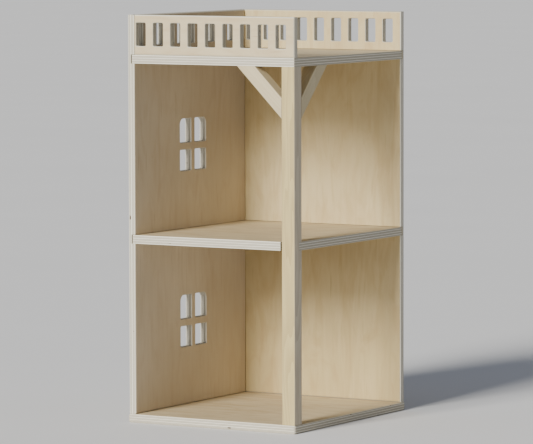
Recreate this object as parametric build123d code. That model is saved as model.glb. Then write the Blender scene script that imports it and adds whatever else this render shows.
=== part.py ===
from build123d import *
import os

# Corner house of a wooden doll's-house set: two open storeys with a slotted
# terrace on top.  All sizes are in millimetres.  +X runs along the open front,
# +Y from the front to the back wall, +Z up.  The origin is the centre of the
# base plate's underside.

# ---- driving dimensions -------------------------------------------------
HOUSE_WIDTH = 200.0            # outside of the side wall to the open side
HOUSE_DEPTH = 232.0            # open front to the outside of the back wall
WALL = 8.0                     # plywood of the two walls and the front railing
FLOOR = 9.0                    # plywood of the base and the two floors
STOREY_CLEAR = 178.5           # clear height of each storey
RAILING_HEIGHT = 41.5          # terrace railing above the roof floor
BASE_MARGIN = 0.75             # base plate stands out past the walls all round
BAR = 15.0                     # square bar of the corner post and the braces

# Grooves that hold the floors in the walls
GROOVE_DEPTH = 4.0
GROOVE_ENTRY = 3.0             # how far a floor reaches into its groove
GROOVE_PLAY = 0.4              # height of a groove above the floor that rests in it

# Notch in the post's rear side, and the floor's cut-out around the post
POST_NOTCH_DEPTH = 5.5
POST_SIDE_GAP = 1.6

# Slots of the terrace railing
SLOT_COUNT = 9
SLOT_PITCH = 21.0
SLOT_WIDTH = 12.0
SIDE_SLOT_COUNT = 11
SIDE_SLOT_PITCH = 20.4
SIDE_SLOT_WIDTH = 14.0
SIDE_SLOT_FIRST = 11.0         # first side slot's centre, from the front
SLOT_HEIGHT = 24.5
SLOT_ABOVE_ROOF = 9.0
SLOT_CORNER = 1.5

# Windows in the side wall: four panes each
PANE_WIDTH = 22.2
LOWER_PANE_HEIGHT = 22.3
UPPER_PANE_HEIGHT = 25.7
WINDOW_BAR = 7.4
WINDOW_SILL = 61.3             # lower edge of the panes above the floor below
PANE_CORNER = 1.5
PANE_ARCH = 6.5                # outer top corners of a window

# Braces
BRACE_LEG = 53.0               # longer leg of the braced triangle

# Broken edges
BASE_ROUND = 2.0
WALL_ROUND = 1.8               # around a wall's outline
OPENING_ROUND = 0.9            # around slots and panes
FLOOR_ROUND = 0.5
BAR_ROUND = 0.8

# Fasteners
SCREW_RADIUS = 1.5
SCREW_LENGTH = 25.0
SCREW_TIP = 3.0
SCREW_POINT_RADIUS = 0.2
SCREW_HEAD_RADIUS = 3.0
SCREW_HEAD_HEIGHT = 1.7
CROSS_WIDTH = 0.8
CROSS_SPAN = 3.4
CROSS_DEPTH = 1.0
HOLE_PLAY = 0.05               # a hole's radius over its screw or dowel
DOWEL_RADIUS = 2.0
THIN_DOWEL_RADIUS = 1.5
DOWEL_SHORT_END = 5.0          # end that sits in thin plywood
DOWEL_LONG_END = 11.0          # end that sits in the post or in a wall's edge
RAILING_DOWEL_END = 6.0
BRACE_DOWEL_END = 6.0
SCREW_END_MARGIN = 25.0        # outer screws and dowels, from a wall's end

SAME_PLACE = 0.01              # positions closer than this are taken as one

# ---- derived positions --------------------------------------------------
LEFT = -HOUSE_WIDTH / 2
RIGHT = HOUSE_WIDTH / 2
FRONT = -HOUSE_DEPTH / 2
BACK = HOUSE_DEPTH / 2
LEFT_INNER = LEFT + WALL
BACK_INNER = BACK - WALL
POST_LEFT = RIGHT - BAR
POST_REAR = FRONT + BAR
BASE_TOP = FLOOR
MIDDLE_LOW = BASE_TOP + STOREY_CLEAR
MIDDLE_TOP = MIDDLE_LOW + FLOOR
ROOF_LOW = MIDDLE_TOP + STOREY_CLEAR
ROOF_TOP = ROOF_LOW + FLOOR
WALL_TOP = ROOF_TOP + RAILING_HEIGHT
SLOT_CENTRE_Z = ROOF_TOP + SLOT_ABOVE_ROOF + SLOT_HEIGHT / 2
SLOT_CENTRES_X = [SLOT_PITCH * (i - (SLOT_COUNT - 1) / 2) for i in range(SLOT_COUNT)]
SIDE_SLOT_CENTRES_Y = [FRONT + SIDE_SLOT_FIRST + SIDE_SLOT_PITCH * i for i in range(SIDE_SLOT_COUNT)]
BRACE_THICK_X = BAR * 2 ** 0.5  # a 45-degree bar's width measured along a leg


def block(x0, x1, y0, y1, z0, z1):
    """A box between two corners."""
    centre = ((x0 + x1) / 2, (y0 + y1) / 2, (z0 + z1) / 2)
    return Pos(*centre) * Box(x1 - x0, y1 - y0, z1 - z0)


def rounded_all_over(board, radius):
    """Breaks every edge of a board."""
    return fillet(board.edges(), radius)


def prism(outline, plane, length):
    """Pushes an outline drawn on a plane to both sides of it."""
    return extrude(plane * outline, amount=length, both=True)


def side_plane(y, z):
    """A plane in the side wall's outer face, local X along +Y and local Y up."""
    return Plane((LEFT, y, z), x_dir=(0, 1, 0), z_dir=(1, 0, 0))


def slot_through_x(y, z, width, height, radius):
    return prism(RectangleRounded(width, height, radius), side_plane(y, z), 2 * WALL)


def slot_through_y(x, y, z):
    plane = Plane((x, y, z), x_dir=(1, 0, 0), z_dir=(0, -1, 0))
    return prism(RectangleRounded(SLOT_WIDTH, SLOT_HEIGHT, SLOT_CORNER), plane, 2 * WALL)


def upper_pane(y, z, outer_side):
    """A pane whose outer top corner is widely rounded; outer_side is -1 or 1 along Y."""
    pane = Rectangle(PANE_WIDTH, UPPER_PANE_HEIGHT)
    pane = fillet([v for v in pane.vertices() if v.X * outer_side > 0 and v.Y > 0], PANE_ARCH)
    to_corner = (PANE_WIDTH + UPPER_PANE_HEIGHT) / 2
    sharp = [v for v in pane.vertices() if abs(abs(v.X) + abs(v.Y) - to_corner) < SAME_PLACE]
    pane = fillet(sharp, PANE_CORNER)
    return prism(pane, side_plane(y, z), 2 * WALL)


def window(floor_top):
    """The four pane openings of one window."""
    lower_z = floor_top + WINDOW_SILL + LOWER_PANE_HEIGHT / 2
    upper_z = floor_top + WINDOW_SILL + LOWER_PANE_HEIGHT + WINDOW_BAR + UPPER_PANE_HEIGHT / 2
    panes = []
    for side in (-1, 1):
        y = side * (PANE_WIDTH + WINDOW_BAR) / 2
        panes.append(slot_through_x(y, lower_z, PANE_WIDTH, LOWER_PANE_HEIGHT, PANE_CORNER))
        panes.append(upper_pane(y, upper_z, side))
    return panes


def face_edges(wall, axis):
    """Edges that lie in either big face of a wall; axis is the wall's thickness axis."""
    limits = wall.bounding_box()
    faces = (getattr(limits.min, axis), getattr(limits.max, axis))

    def in_a_face(edge):
        box = edge.bounding_box()
        ends = (getattr(box.min, axis), getattr(box.max, axis))
        return any(max(abs(end - face) for end in ends) < SAME_PLACE for face in faces)

    return wall.edges().filter_by(in_a_face)


def outline_distance(edge, wall, axis):
    """How far an edge's middle lies inside a wall's outline."""
    limits = wall.bounding_box()
    middle = edge.bounding_box().center()
    distances = []
    for other in "XYZ".replace(axis, ""):
        place = getattr(middle, other)
        distances.append(place - getattr(limits.min, other))
        distances.append(getattr(limits.max, other) - place)
    return min(distances)


def softened(wall, axis):
    """Rounds a wall's outline widely, then the edges of its openings finely."""
    outline = [e for e in face_edges(wall, axis) if outline_distance(e, wall, axis) < SAME_PLACE]
    wall = fillet(outline, WALL_ROUND)
    inner = [e for e in face_edges(wall, axis) if outline_distance(e, wall, axis) > WALL_ROUND + SAME_PLACE]
    return fillet(inner, OPENING_ROUND)


def cylinder_along(start, direction, radius, length):
    """A cylinder from a start point along a direction."""
    return extrude(Plane(start, z_dir=direction) * Circle(radius), amount=length)


# ---- screws and dowels --------------------------------------------------
def side_screws():
    x = (LEFT + LEFT_INNER) / 2
    return [(x, y) for y in (FRONT + SCREW_END_MARGIN, -WALL / 2, BACK_INNER - SCREW_END_MARGIN)]


def back_screws():
    y = (BACK + BACK_INNER) / 2
    return [(x, y) for x in (LEFT_INNER + SCREW_END_MARGIN, WALL / 2, RIGHT - SCREW_END_MARGIN)]


def post_screws():
    return [((POST_LEFT + RIGHT) / 2, (FRONT + POST_REAR) / 2)]


def screw_places():
    return side_screws() + back_screws() + post_screws()


def dowel(start, direction, radius, short_end, long_end, play=0.0):
    """A dowel across a joint at start; direction points into the longer end's wood."""
    way = Vector(*direction)
    base = Vector(*start) - way * short_end
    return cylinder_along(tuple(base), direction, radius + play, short_end + long_end)


def corner_dowels(play=0.0):
    """Across the joint between the side wall's rear edge and the back wall."""
    x = (LEFT + LEFT_INNER) / 2
    heights = [BASE_TOP + SCREW_END_MARGIN, BASE_TOP + STOREY_CLEAR / 2,
               MIDDLE_TOP + SCREW_END_MARGIN, MIDDLE_TOP + STOREY_CLEAR / 2, ROOF_LOW - SCREW_END_MARGIN]
    return [dowel((x, BACK_INNER, z), (0, -1, 0), DOWEL_RADIUS, DOWEL_SHORT_END, DOWEL_LONG_END, play)
            for z in heights]


def post_dowels(play=0.0):
    """Between the post's top end and the roof floor."""
    x = (POST_LEFT + RIGHT) / 2
    y = (FRONT + POST_REAR) / 2
    return [dowel((x, y, ROOF_LOW), (0, 0, -1), DOWEL_RADIUS, DOWEL_SHORT_END, DOWEL_LONG_END, play)]


def railing_dowels(play=0.0):
    """Between the roof floor and the front railing's lower edge."""
    y = FRONT + WALL / 2
    places = [SLOT_CENTRES_X[0] + SLOT_PITCH / 2, 0.0, SLOT_CENTRES_X[-1] - SLOT_PITCH / 2]
    return [dowel((x, y, ROOF_TOP), (0, 0, 1), THIN_DOWEL_RADIUS, DOWEL_SHORT_END, RAILING_DOWEL_END, play)
            for x in places]


def brace_dowels(play=0.0):
    """One at each end of each brace."""
    middle_leg = BRACE_LEG - BRACE_THICK_X / 2
    bar_y = (FRONT + POST_REAR) / 2
    bar_x = (POST_LEFT + RIGHT) / 2
    ends = [((POST_LEFT - middle_leg, bar_y, ROOF_LOW), (0, 0, -1)),
            ((POST_LEFT, bar_y, ROOF_LOW - middle_leg), (-1, 0, 0)),
            ((bar_x, POST_REAR + middle_leg, ROOF_LOW), (0, 0, -1)),
            ((bar_x, POST_REAR, ROOF_LOW - middle_leg), (0, 1, 0))]
    return [dowel(place, way, THIN_DOWEL_RADIUS, DOWEL_SHORT_END, BRACE_DOWEL_END, play)
            for place, way in ends]


def screw_body(x, y, play=0.0):
    """Countersunk head, shank and pointed tip, pointing up from the base's underside."""
    radius = SCREW_RADIUS + play
    head = Pos(x, y, SCREW_HEAD_HEIGHT / 2) * Cone(SCREW_HEAD_RADIUS + play, radius, SCREW_HEAD_HEIGHT)
    shank = cylinder_along((x, y, 0), (0, 0, 1), radius, SCREW_LENGTH - SCREW_TIP)
    tip = Pos(x, y, SCREW_LENGTH - SCREW_TIP / 2) * Cone(radius, SCREW_POINT_RADIUS + play, SCREW_TIP)
    return head + shank + tip


def base_screw(x, y):
    """A screw with a cross recess in its head."""
    middle = Pos(x, y, CROSS_DEPTH / 2)
    along_x = middle * Box(CROSS_SPAN, CROSS_WIDTH, CROSS_DEPTH)
    along_y = middle * Box(CROSS_WIDTH, CROSS_SPAN, CROSS_DEPTH)
    return screw_body(x, y) - along_x - along_y


# ---- boards and bars ----------------------------------------------------
def base_plate():
    width = HOUSE_WIDTH + 2 * BASE_MARGIN
    depth = HOUSE_DEPTH + 2 * BASE_MARGIN
    plate = rounded_all_over(Pos(0, 0, FLOOR / 2) * Box(width, depth, FLOOR), BASE_ROUND)
    for x, y in screw_places():
        plate -= screw_body(x, y, HOLE_PLAY)
    return plate


def grooves(x0, x1, y0, y1):
    """Both floor grooves of a wall, cut between the given limits."""
    return [block(x0, x1, y0, y1, low, low + FLOOR + GROOVE_PLAY) for low in (MIDDLE_LOW, ROOF_LOW)]


def left_wall():
    wall = block(LEFT, LEFT_INNER, FRONT, BACK_INNER, BASE_TOP, WALL_TOP)
    for y in SIDE_SLOT_CENTRES_Y:
        wall -= slot_through_x(y, SLOT_CENTRE_Z, SIDE_SLOT_WIDTH, SLOT_HEIGHT, SLOT_CORNER)
    for pane in window(BASE_TOP) + window(MIDDLE_TOP):
        wall -= pane
    wall = softened(wall, "X")
    for groove in grooves(LEFT_INNER - GROOVE_DEPTH, LEFT_INNER, FRONT, BACK_INNER):
        wall -= groove
    for hole in corner_dowels(HOLE_PLAY):
        wall -= hole
    for x, y in side_screws():
        wall -= screw_body(x, y, HOLE_PLAY)
    return wall


def back_wall():
    wall = block(LEFT, RIGHT, BACK_INNER, BACK, BASE_TOP, WALL_TOP)
    for x in SLOT_CENTRES_X:
        wall -= slot_through_y(x, BACK, SLOT_CENTRE_Z)
    wall = softened(wall, "Y")
    for groove in grooves(LEFT_INNER - GROOVE_DEPTH, RIGHT, BACK_INNER, BACK_INNER + GROOVE_DEPTH):
        wall -= groove
    for hole in corner_dowels(HOLE_PLAY):
        wall -= hole
    for x, y in back_screws():
        wall -= screw_body(x, y, HOLE_PLAY)
    return wall


def floor_board(low):
    """A floor that reaches into the grooves of both walls."""
    board = block(LEFT_INNER - GROOVE_ENTRY, RIGHT, FRONT, BACK_INNER + GROOVE_ENTRY, low, low + FLOOR)
    return rounded_all_over(board, FLOOR_ROUND)


def middle_floor():
    """The middle floor, cut out around what the notch leaves of the post."""
    cut_left = POST_LEFT - POST_SIDE_GAP
    cut_rear = POST_REAR - POST_NOTCH_DEPTH
    return floor_board(MIDDLE_LOW) - block(cut_left, RIGHT, FRONT, cut_rear, MIDDLE_LOW, MIDDLE_TOP)


def roof_floor():
    board = floor_board(ROOF_LOW)
    for hole in post_dowels(HOLE_PLAY) + railing_dowels(HOLE_PLAY) + brace_dowels(HOLE_PLAY):
        board -= hole
    return board


def corner_post():
    post = block(POST_LEFT, RIGHT, FRONT, POST_REAR, BASE_TOP, ROOF_LOW)
    post = fillet(post.edges().filter_by(Axis.Z), BAR_ROUND)
    post -= block(POST_LEFT, RIGHT, POST_REAR - POST_NOTCH_DEPTH, POST_REAR, MIDDLE_LOW, MIDDLE_TOP)
    for hole in post_dowels(HOLE_PLAY) + brace_dowels(HOLE_PLAY):
        post -= hole
    for x, y in post_screws():
        post -= screw_body(x, y, HOLE_PLAY)
    return post


def brace(plane, holes):
    """A 45-degree bar in a plane whose local X runs along the roof, away from the
    post, and whose local Y runs up; the local origin is where post and roof meet."""
    short_leg = BRACE_LEG - BRACE_THICK_X
    outline = Polygon((0, -BRACE_LEG), (BRACE_LEG, 0), (short_leg, 0), (0, -short_leg), align=None)
    bar = extrude(plane * outline, amount=BAR)
    along = (plane.x_dir + Vector(0, 0, 1)).normalized()
    long_edges = bar.edges().filter_by(Axis((0, 0, 0), tuple(along)))
    bar = fillet(long_edges, BAR_ROUND)
    for hole in holes:
        bar -= hole
    return bar


def front_brace():
    plane = Plane((POST_LEFT, FRONT, ROOF_LOW), x_dir=(-1, 0, 0), z_dir=(0, 1, 0))
    return brace(plane, brace_dowels(HOLE_PLAY)[:2])


def right_brace():
    plane = Plane((POST_LEFT, POST_REAR, ROOF_LOW), x_dir=(0, 1, 0), z_dir=(1, 0, 0))
    return brace(plane, brace_dowels(HOLE_PLAY)[2:])


def front_railing():
    panel = block(LEFT_INNER, RIGHT, FRONT, FRONT + WALL, ROOF_TOP, WALL_TOP)
    for x in SLOT_CENTRES_X:
        panel -= slot_through_y(x, FRONT, SLOT_CENTRE_Z)
    panel = softened(panel, "Y")
    for hole in railing_dowels(HOLE_PLAY):
        panel -= hole
    return panel


NODES = {
    "base_plate": base_plate,
    "left_wall": left_wall,
    "back_wall": back_wall,
    "middle_floor": middle_floor,
    "roof_floor": roof_floor,
    "corner_post": corner_post,
    "front_brace": front_brace,
    "right_brace": right_brace,
    "front_railing": front_railing,
    "base_screws": lambda: Compound([base_screw(x, y) for x, y in screw_places()]),
    "corner_dowels": lambda: Compound(corner_dowels()),
    "post_dowel": lambda: post_dowels()[0],
    "railing_dowels": lambda: Compound(railing_dowels()),
    "brace_dowels": lambda: Compound(brace_dowels()),
}

os.makedirs("parts", exist_ok=True)
for node, make in NODES.items():
    export_step(make(), f"parts/{node}.step")
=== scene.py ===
import math

import bpy
from mathutils import Matrix, Vector


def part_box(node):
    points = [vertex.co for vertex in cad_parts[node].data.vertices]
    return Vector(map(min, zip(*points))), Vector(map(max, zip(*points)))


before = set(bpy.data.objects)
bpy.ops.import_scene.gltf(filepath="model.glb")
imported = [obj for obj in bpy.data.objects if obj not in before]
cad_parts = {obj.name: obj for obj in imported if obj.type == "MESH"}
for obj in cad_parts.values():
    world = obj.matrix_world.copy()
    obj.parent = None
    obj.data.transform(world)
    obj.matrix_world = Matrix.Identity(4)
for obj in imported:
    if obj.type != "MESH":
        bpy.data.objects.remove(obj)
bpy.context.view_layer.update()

MM = 0.001
X_AXIS = (1.0, 0.0, 0.0)
Y_AXIS = (0.0, 1.0, 0.0)
Z_AXIS = (0.0, 0.0, 1.0)
WHITE = (1.0, 1.0, 1.0)

# ---- camera: angles in degrees ------------------------------------------
VIEW_AZIMUTH = 30.63           # how far it stands to the right of the front
VIEW_ELEVATION = 4.55          # how far it looks down
VIEW_ROLL = -0.13
CAMERA_PLACE = Vector((2230.8, -3770.35, 554.3)) * MM
LENS = 282.0
SENSOR = 36.0
CLIP_END = 200.0

# ---- light: angles in degrees -------------------------------------------
KEY_AZIMUTH = -4.0             # how far the key light stands to the right of the front
KEY_SPREAD = 16.0
KEY_COLOR = (1.0, 0.975, 0.93)
KEY_LEVELS = ((12.0, 0.8), (23.0, 3.6), (34.0, 2.0))   # elevation and strength of each part
SKY_COLOR = (0.90, 0.97, 1.16)
SKY_STRENGTH = 0.25
FLOOR_HALF = 60.0
FLOOR_TONES = ((0.70, 0.70, 0.69), (0.74, 0.74, 0.73))
FLOOR_RELIEF = 0.0001          # metres

# ---- plywood ------------------------------------------------------------
WALL_PLIES = 5
FLOOR_PLIES = 7
FIBRE_STRETCH = 26.0           # length over width of streaks and fibres
FIGURE_STRETCH = 7.0           # the same of the figure and the stains
CLOUD_STRETCH = 3.0            # the same of the broad darker clouds
GLUE_HALF_WIDTH = 0.00019      # metres
GLUE_SOFTNESS = 0.6            # how gradually a glue line fades, as a part of its half width
PLYWOOD_RELIEF = 0.00007       # metres

VENEER_DEEP = (0.530, 0.432, 0.262)
VENEER_PALE = (0.598, 0.498, 0.312)
CLOUD_TONE = (0.450, 0.325, 0.175)
STAIN_TONE = (0.440, 0.315, 0.165)
BAND_TONE = (0.460, 0.345, 0.190)
STREAK_TONE = (0.395, 0.285, 0.150)
FIBRE_TONE = (0.350, 0.250, 0.130)
FLECK_TONE = (0.330, 0.225, 0.115)

LONG_PLY = ((0.730, 0.710, 0.598), (0.670, 0.642, 0.526))        # cut along its grain
END_FACE_PLY = ((0.470, 0.440, 0.350), (0.380, 0.350, 0.270))    # cut across its grain
END_CROSS_PLY = ((0.525, 0.502, 0.414), (0.473, 0.446, 0.357))   # cut across its grain
GLUE_TONE = (0.270, 0.200, 0.125)
GAP_TONE = (0.100, 0.070, 0.045)

# a board's directions: its thickness, its veneer's grain and its crossing plies' grain
LYING = (Z_AXIS, X_AXIS, Y_AXIS)
SIDE_WALL = (X_AXIS, Z_AXIS, Y_AXIS)
BACK_WALL = (Y_AXIS, Z_AXIS, X_AXIS)
RAILING = (Y_AXIS, X_AXIS, Z_AXIS)

# ---- solid wood ---------------------------------------------------------
BAR_STRETCH = 30.0             # length over width of streaks and fibres
RING_STRETCH = 13.6            # the same of the growth rings
WOOD_RELIEF = 0.00006          # metres
POST_TONES = ((0.535, 0.430, 0.198), (0.420, 0.320, 0.145))
# painted shade: the cooler colour of the post's shaded side, put on its faces across X
POST_PAINTED_SHADE_TINT = (1.06, 1.16, 1.82)
BRACE_TONES = ((0.550, 0.465, 0.290), (0.440, 0.350, 0.200))
DOWEL_TONES = ((0.600, 0.470, 0.310), (0.460, 0.330, 0.200))
WOOD_FIBRE_TONE = (0.340, 0.250, 0.155)
WOOD_END_TONE = (0.390, 0.300, 0.200)
SLOPE = math.sqrt(0.5)         # each part of a 45-degree direction

# ---- steel --------------------------------------------------------------
ZINC_TONES = ((0.620, 0.630, 0.640), (0.480, 0.490, 0.500))
ZINC_RELIEF = 0.00002          # metres


# ---- node helpers -------------------------------------------------------
def rgba(value):
    """A plain colour with its alpha; anything else as it is."""
    return (*value, 1.0) if isinstance(value, tuple) and len(value) == 3 else value


class Graph:
    """Builds a material's nodes with short calls."""

    def __init__(self, name):
        self.material = bpy.data.materials.new(name)
        self.material.use_nodes = True
        self.nodes = self.material.node_tree.nodes
        self.links = self.material.node_tree.links
        self.nodes.clear()

    def feed(self, socket, value):
        """Links a socket, or sets a plain value, on an input."""
        if isinstance(value, bpy.types.NodeSocket):
            self.links.new(value, socket)
        elif value is not None:
            socket.default_value = value

    def place(self):
        """Where a point is, in the object's own metres."""
        return self.nodes.new("ShaderNodeTexCoord").outputs["Object"]

    def normal(self):
        return self.nodes.new("ShaderNodeNewGeometry").outputs["Normal"]

    def math(self, operation, a, b=None, clamp=False):
        node = self.nodes.new("ShaderNodeMath")
        node.operation = operation
        node.use_clamp = clamp
        self.feed(node.inputs[0], a)
        self.feed(node.inputs[1], b)
        return node.outputs[0]

    def plus(self, first, *others):
        """The sum of the values."""
        for other in others:
            first = self.math("ADD", first, other)
        return first

    def times(self, first, *others):
        """The product of the values."""
        for other in others:
            first = self.math("MULTIPLY", first, other)
        return first

    def vector(self, operation, a, b=None):
        node = self.nodes.new("ShaderNodeVectorMath")
        node.operation = operation
        self.feed(node.inputs[0], a)
        self.feed(node.inputs[1], b)
        return node.outputs["Value" if operation == "DOT_PRODUCT" else "Vector"]

    def along(self, value, direction):
        """How far a position or a normal reaches in a direction."""
        return self.vector("DOT_PRODUCT", value, direction)

    def combine(self, x, y, z):
        node = self.nodes.new("ShaderNodeCombineXYZ")
        for socket, value in zip(node.inputs, (x, y, z)):
            self.feed(socket, value)
        return node.outputs[0]

    def pick(self, factor, a, b):
        """The vector a where factor is 0, and b where it is 1."""
        node = self.nodes.new("ShaderNodeMix")
        node.data_type = "VECTOR"
        self.feed(node.inputs["Factor"], factor)
        self.feed(node.inputs[4], a)
        self.feed(node.inputs[5], b)
        return node.outputs[1]

    def noise(self, at, scale, detail=2.0, roughness=0.5, distortion=0.0):
        node = self.nodes.new("ShaderNodeTexNoise")
        self.feed(node.inputs["Vector"], at)
        node.inputs["Scale"].default_value = scale
        node.inputs["Detail"].default_value = detail
        node.inputs["Roughness"].default_value = roughness
        node.inputs["Distortion"].default_value = distortion
        return node.outputs["Fac"]

    def ramp(self, value, low, high, start=0.0, end=1.0):
        """Smoothly maps low..high to start..end."""
        node = self.nodes.new("ShaderNodeMapRange")
        node.interpolation_type = "SMOOTHSTEP"
        self.feed(node.inputs["Value"], value)
        ends = (("From Min", low), ("From Max", high), ("To Min", start), ("To Max", end))
        for key, number in ends:
            node.inputs[key].default_value = number
        return node.outputs["Result"]

    def mix(self, factor, a, b, blend="MIX"):
        node = self.nodes.new("ShaderNodeMix")
        node.data_type = "RGBA"
        node.blend_type = blend
        self.feed(node.inputs["Factor"], factor)
        self.feed(node.inputs[6], rgba(a))
        self.feed(node.inputs[7], rgba(b))
        return node.outputs[2]

    def tinted(self, color, tint, factor=1.0):
        return self.mix(factor, color, tint, "MULTIPLY")

    def shaded(self, color, tone, noise, low, high, most):
        """The colour, drawn towards tone by up to most as noise goes from low to high."""
        return self.mix(self.ramp(noise, low, high, 0.0, most), color, tone)

    def finish(self, color, roughness, height, relief, specular=0.3, metallic=0.0):
        shader = self.nodes.new("ShaderNodeBsdfPrincipled")
        shader.inputs["Specular IOR Level"].default_value = specular
        shader.inputs["Metallic"].default_value = metallic
        self.feed(shader.inputs["Base Color"], color)
        self.feed(shader.inputs["Roughness"], roughness)
        bump = self.nodes.new("ShaderNodeBump")
        bump.inputs["Distance"].default_value = relief
        bump.inputs["Strength"].default_value = 1.0
        self.feed(bump.inputs["Height"], height)
        self.links.new(bump.outputs[0], shader.inputs["Normal"])
        output = self.nodes.new("ShaderNodeOutputMaterial")
        self.links.new(shader.outputs[0], output.inputs[0])
        return self.material


def grain_space(graph, position, along, stretch):
    """Position squeezed along the grain direction, so that noise runs along the grain."""
    drop = graph.times(graph.along(position, along), 1.0 / stretch - 1.0)
    offset = graph.vector("MULTIPLY", graph.combine(drop, drop, drop), along)
    return graph.vector("ADD", position, offset)


# ---- plywood materials --------------------------------------------------
class Board:
    """What a plywood board's colours share: the ply that a point lies in, how the surface
    cuts the grain there, and the noise that follows the grain."""

    def __init__(self, graph, node, plies, directions, seed):
        thickness_axis, face_grain, cross_grain = directions
        low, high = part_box(node)
        axis = thickness_axis.index(1.0)
        thickness = high[axis] - low[axis]
        self.face_grain = face_grain
        self.plies = plies
        self.ply_thickness = thickness / plies
        self.seed = seed
        self.position = graph.place()
        facing = graph.normal()

        # the ply, counted from the low side, and crossing, which is 1 in the crossing plies
        depth = graph.math("SUBTRACT", graph.along(self.position, thickness_axis), low[axis])
        depth = graph.math("DIVIDE", depth, thickness, clamp=True)
        self.in_plies = graph.times(depth, float(plies))
        ply = graph.math("MINIMUM", graph.math("FLOOR", self.in_plies), plies - 1.0)
        self.crossing = graph.math("MODULO", ply, 2.0)

        # every ply and every board has its own stretch of wood
        shift = tuple(seed * k for k in (0.37, 0.71, 0.53))
        ply_shift = graph.vector("MULTIPLY", graph.combine(ply, ply, ply), (0.13, 0.29, 0.17))
        self.wood = graph.vector("ADD", graph.vector("ADD", self.position, shift), ply_shift)
        self.grained = graph.pick(self.crossing,
                                  grain_space(graph, self.wood, face_grain, FIBRE_STRETCH),
                                  grain_space(graph, self.wood, cross_grain, FIBRE_STRETCH))
        self.streaks = graph.noise(self.grained, 210.0, 3.0, 0.6)
        self.fibres = graph.noise(self.grained, 1500.0, 2.0, 0.7)

        # end_grain is 0 where the ply is cut along its grain and 1 where it is cut across
        ends_face = graph.math("ABSOLUTE", graph.along(facing, face_grain))
        ends_cross = graph.math("ABSOLUTE", graph.along(facing, cross_grain))
        in_face_ply = graph.math("SUBTRACT", 1.0, self.crossing)
        self.end_grain = graph.math("ADD", graph.times(ends_face, in_face_ply),
                                    graph.times(ends_cross, self.crossing), clamp=True)
        self.on_edge = graph.ramp(graph.plus(ends_face, ends_cross), 0.35, 0.8)


def veneer_color(graph, board, tint, figure_depth, painted_light_shade_tint, painted_light_shade_ends):
    """The faces: two pale tones, then darker clouds, stains, the bands of the figure, streaks,
    fibres and flecks.  Going down, a tint of painted light and shade sets in between two given
    heights, brightening or darkening the board low down."""
    wandering = grain_space(graph, board.wood, board.face_grain, FIGURE_STRETCH)
    broad = grain_space(graph, board.wood, board.face_grain, CLOUD_STRETCH)
    tones = graph.noise(board.position, 9.0, 2.0, 0.5)
    clouds = graph.noise(broad, 42.0, 3.0, 0.55, 1.8)
    stains = graph.noise(wandering, 55.0, 3.0, 0.6, 1.6)
    figure = graph.noise(wandering, 30.0, 2.0, 0.45, 0.5)
    flecks = graph.noise(graph.vector("ADD", board.grained, (0.7, 0.2, 0.4)), 520.0, 1.0, 0.4)

    # bands and streaks come and go
    presence = graph.ramp(graph.noise(wandering, 26.0, 1.0), 0.35, 0.65, 0.25, 1.0)
    bands = graph.math("SUBTRACT", graph.math("FRACT", graph.times(figure, 8.0)), 0.5)
    bands = graph.ramp(graph.math("ABSOLUTE", bands), 0.05, 0.5)
    bands = graph.times(bands, presence, 0.20 * figure_depth)
    streaks = graph.times(graph.ramp(board.streaks, 0.50, 0.80), presence, 0.22 * figure_depth)

    color = graph.mix(graph.ramp(tones, 0.3, 0.7), VENEER_DEEP, VENEER_PALE)
    color = graph.shaded(color, CLOUD_TONE, clouds, 0.46, 0.70, 0.30 * figure_depth)
    color = graph.shaded(color, STAIN_TONE, stains, 0.48, 0.72, 0.34 * figure_depth)
    color = graph.mix(bands, color, BAND_TONE)
    color = graph.mix(streaks, color, STREAK_TONE)
    color = graph.shaded(color, FIBRE_TONE, board.fibres, 0.45, 0.85, 0.12)
    color = graph.shaded(color, FLECK_TONE, flecks, 0.70, 0.80, 0.45)
    color = graph.tinted(color, tint)
    # painted light and shade: the foot tint brightens or darkens the veneer below the given
    # heights
    height = graph.along(board.position, Z_AXIS)
    return graph.tinted(color, painted_light_shade_tint, graph.ramp(height, *painted_light_shade_ends, 1.0, 0.0))


def edge_color(graph, board):
    """The edges: plies cut along and across their grain, glue lines between them, and a few
    gaps in plies cut across.  Returns the colour, the glue lines and the gaps."""
    long_ply = graph.mix(graph.ramp(board.streaks, 0.35, 0.75), *LONG_PLY)
    fibres = graph.ramp(board.fibres, 0.35, 0.7)
    face_ply = graph.mix(fibres, *END_FACE_PLY)
    cross_ply = graph.mix(fibres, *END_CROSS_PLY)
    color = graph.mix(board.end_grain, long_ply, graph.mix(board.crossing, face_ply, cross_ply))

    # the two outer half plies have no glue line and no gap
    inside = graph.times(graph.math("GREATER_THAN", board.in_plies, 0.5),
                         graph.math("LESS_THAN", board.in_plies, board.plies - 0.5))
    joint = graph.math("SUBTRACT", board.in_plies, graph.math("ROUND", board.in_plies))
    from_joint = graph.times(graph.math("ABSOLUTE", joint), board.ply_thickness)
    glue = graph.ramp(from_joint, GLUE_HALF_WIDTH * (1.0 - GLUE_SOFTNESS),
                      GLUE_HALF_WIDTH * (1.0 + GLUE_SOFTNESS), 1.0, 0.0)
    glue = graph.times(glue, inside)
    gaps = graph.noise(graph.vector("ADD", board.wood, (0.31, board.seed, 0.77)), 95.0, 0.0)
    gaps = graph.times(graph.ramp(gaps, 0.805, 0.825), inside, board.end_grain)
    color = graph.mix(graph.times(glue, 0.90), color, GLUE_TONE)
    return graph.mix(gaps, color, GAP_TONE), glue, gaps


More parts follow.
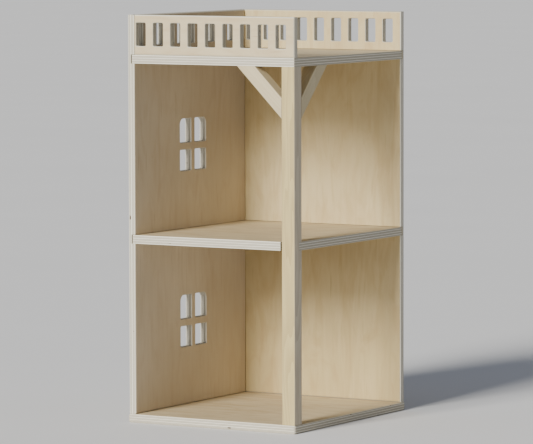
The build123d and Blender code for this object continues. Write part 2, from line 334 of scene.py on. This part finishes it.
def plywood(name, node, plies, directions, seed,
            tint=WHITE, figure_depth=1.0, painted_light_shade_tint=WHITE, painted_light_shade_ends=(0.0, 1.0)):
    """Plywood right through a board: veneer on its faces and layers on every cut edge.  tint
    colours the veneer, and figure_depth scales how strong its markings are.  The foot tint
    and its heights paint light and shade on the veneer low on the board."""
    graph = Graph(name)
    board = Board(graph, node, plies, directions, seed)
    veneer = veneer_color(graph, board, tint, figure_depth, painted_light_shade_tint, painted_light_shade_ends)
    edge, glue, gaps = edge_color(graph, board)
    color = graph.mix(board.on_edge, veneer, edge)
    roughness = graph.plus(graph.times(board.streaks, 0.16),
                           graph.times(board.on_edge, 0.14),
                           0.50)
    height = graph.plus(graph.times(board.fibres, 0.5),
                        graph.times(board.streaks, 0.35),
                        graph.times(glue, board.on_edge, -1.2),
                        graph.times(gaps, board.on_edge, -4.0))
    return graph.finish(color, roughness, height, PLYWOOD_RELIEF)


# ---- solid wood and steel materials -------------------------------------
def solid_wood(name, along, seed, tones, painted_shade_tint=WHITE, ring_depth=0.35):
    """Straight-grained bar or dowel: growth rings along one direction, end grain across it.
    Its tint is painted shade: the cooler colour of a shaded side, put on the faces across X."""
    graph = Graph(name)
    light, dark = tones
    position = graph.vector("ADD", graph.place(), (seed, seed * 0.6, seed * 0.3))
    facing = graph.normal()
    grained = grain_space(graph, position, along, BAR_STRETCH)
    end_grain = graph.ramp(graph.math("ABSOLUTE", graph.along(facing, along)), 0.4, 0.9)
    # the faces across X, which get the painted shade colour
    across = graph.ramp(graph.math("ABSOLUTE", graph.along(facing, X_AXIS)), 0.4, 0.9)
    rings = graph.noise(grain_space(graph, position, along, RING_STRETCH), 60.0, 2.0, 0.5, 0.3)
    rings = graph.ramp(graph.math("FRACT", graph.times(rings, 9.0)), 0.0, 1.0)
    streaks = graph.noise(grained, 420.0, 3.0, 0.6)
    fibres = graph.noise(grained, 1900.0, 2.0, 0.7)
    color = graph.mix(graph.times(rings, ring_depth), light, dark)
    color = graph.shaded(color, dark, streaks, 0.50, 0.80, 0.35)
    color = graph.shaded(color, WOOD_FIBRE_TONE, fibres, 0.45, 0.85, 0.22)
    color = graph.mix(graph.times(end_grain, 0.45), color, WOOD_END_TONE)
    # painted shade: the faces across X are tinted cooler, like a side in shade
    color = graph.tinted(color, painted_shade_tint, across)
    roughness = graph.plus(graph.times(streaks, 0.18), graph.times(end_grain, 0.15), 0.46)
    height = graph.plus(graph.times(fibres, 0.6), graph.times(streaks, 0.4))
    return graph.finish(color, roughness, height, WOOD_RELIEF)


def zinc_steel(name):
    """Bright zinc plating with fine turning marks and dull spots."""
    graph = Graph(name)
    position = graph.place()
    spots = graph.noise(position, 900.0, 3.0, 0.6)
    turned = graph.vector("MULTIPLY", position, (1.0, 6.0, 1.0))
    scratches = graph.noise(turned, 2600.0, 2.0, 0.6)
    color = graph.mix(graph.ramp(spots, 0.35, 0.7), *ZINC_TONES)
    roughness = graph.ramp(scratches, 0.3, 0.8, 0.22, 0.48)
    return graph.finish(color, roughness, scratches, ZINC_RELIEF, specular=0.5, metallic=1.0)


# ---- finishes -----------------------------------------------------------
def dress(node, material):
    """Gives a CAD node its finished material."""
    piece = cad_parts[node]
    piece.data.materials.clear()
    piece.data.materials.append(material)


def dress_boards():
    dress("base_plate", plywood("base_plywood", "base_plate", FLOOR_PLIES, LYING, 1.3,
                                figure_depth=1.8))
    dress("middle_floor", plywood("middle_plywood", "middle_floor", FLOOR_PLIES, LYING, 2.9,
                                  figure_depth=1.8))
    dress("roof_floor", plywood("roof_plywood", "roof_floor", FLOOR_PLIES, LYING, 4.1))
    # painted light: the left wall is brightened low down, below 0.17 to 0.34 m, like a low fill
    # light
    dress("left_wall", plywood("left_plywood", "left_wall", WALL_PLIES, SIDE_WALL, 5.7,
                               tint=(0.93, 0.95, 1.08), figure_depth=0.75,
                               painted_light_shade_tint=(1.20, 1.21, 1.22), painted_light_shade_ends=(0.17, 0.34)))
    # painted shade: the back wall is darkened near its foot, below 0.05 to 0.13 m
    dress("back_wall", plywood("back_plywood", "back_wall", WALL_PLIES, BACK_WALL, 7.9,
                               tint=(1.01, 0.985, 0.86), figure_depth=1.25,
                               painted_light_shade_tint=(0.90, 0.87, 0.79), painted_light_shade_ends=(0.05, 0.13)))
    dress("front_railing", plywood("railing_plywood", "front_railing", WALL_PLIES, RAILING, 9.2))


def dress_bars():
    # the post's faces across X get a painted shade colour
    dress("corner_post", solid_wood("post_wood", Z_AXIS, 1.7, POST_TONES, POST_PAINTED_SHADE_TINT, 0.75))
    dress("front_brace", solid_wood("front_brace_wood", (-SLOPE, 0.0, SLOPE), 2.3, BRACE_TONES))
    dress("right_brace", solid_wood("right_brace_wood", (0.0, SLOPE, SLOPE), 3.1, BRACE_TONES))


def dress_fasteners():
    dress("corner_dowels", solid_wood("corner_dowel_wood", Y_AXIS, 4.4, DOWEL_TONES))
    dress("post_dowel", solid_wood("post_dowel_wood", Z_AXIS, 5.2, DOWEL_TONES))
    dress("railing_dowels", solid_wood("railing_dowel_wood", Z_AXIS, 6.1, DOWEL_TONES))
    dress("brace_dowels", solid_wood("brace_dowel_wood", Z_AXIS, 7.4, DOWEL_TONES))
    dress("base_screws", zinc_steel("zinc_steel"))


# ---- studio -------------------------------------------------------------
def add_camera():
    azimuth = math.radians(VIEW_AZIMUTH)
    elevation = math.radians(VIEW_ELEVATION)
    roll = math.radians(VIEW_ROLL)
    ahead = Vector((-math.sin(azimuth) * math.cos(elevation),
                    math.cos(azimuth) * math.cos(elevation),
                    -math.sin(elevation)))
    side = Vector((math.cos(azimuth), math.sin(azimuth), 0.0))
    up = side.cross(ahead)
    right = side * math.cos(roll) + up * math.sin(roll)
    top = up * math.cos(roll) - side * math.sin(roll)
    turn = Matrix((right, top, -ahead)).transposed().to_4x4()
    data = bpy.data.cameras.new("camera")
    data.lens = LENS
    data.sensor_width = SENSOR
    data.clip_end = CLIP_END
    camera = bpy.data.objects.new("camera", data)
    camera.matrix_world = Matrix.Translation(CAMERA_PLACE) @ turn
    bpy.context.scene.collection.objects.link(camera)
    bpy.context.scene.camera = camera


def add_floor():
    graph = Graph("studio_floor")
    tone = graph.noise(graph.place(), 3.0, 2.0)
    color = graph.mix(tone, *FLOOR_TONES)
    material = graph.finish(color, 0.75, tone, FLOOR_RELIEF, specular=0.1)
    signs = ((-1, -1), (1, -1), (1, 1), (-1, 1))
    corners = [(x * FLOOR_HALF, y * FLOOR_HALF, 0.0) for x, y in signs]
    mesh = bpy.data.meshes.new("studio_floor")
    mesh.from_pydata(corners, [], [(0, 1, 2, 3)])
    mesh.materials.append(material)
    floor = bpy.data.objects.new("studio_floor", mesh)
    bpy.context.scene.collection.objects.link(floor)


def add_key_light():
    """A far, tall softbox, as a few soft suns one above the other."""
    turn = math.radians(KEY_AZIMUTH)
    for level, (elevation, strength) in enumerate(KEY_LEVELS):
        name = f"key_{level}"
        data = bpy.data.lights.new(name, "SUN")
        data.angle = math.radians(KEY_SPREAD)
        data.energy = strength
        data.color = KEY_COLOR
        light = bpy.data.objects.new(name, data)
        rise = math.radians(elevation)
        towards = Vector((math.sin(turn) * math.cos(rise),
                          -math.cos(turn) * math.cos(rise),
                          math.sin(rise)))
        light.rotation_euler = towards.to_track_quat("Z", "Y").to_euler()
        bpy.context.scene.collection.objects.link(light)


def add_sky():
    world = bpy.data.worlds.new("studio")
    bpy.context.scene.world = world
    world.use_nodes = True
    background = world.node_tree.nodes["Background"]
    background.inputs["Color"].default_value = rgba(SKY_COLOR)
    background.inputs["Strength"].default_value = SKY_STRENGTH


dress_boards()
dress_bars()
dress_fasteners()
add_camera()
add_floor()
add_key_light()
add_sky()
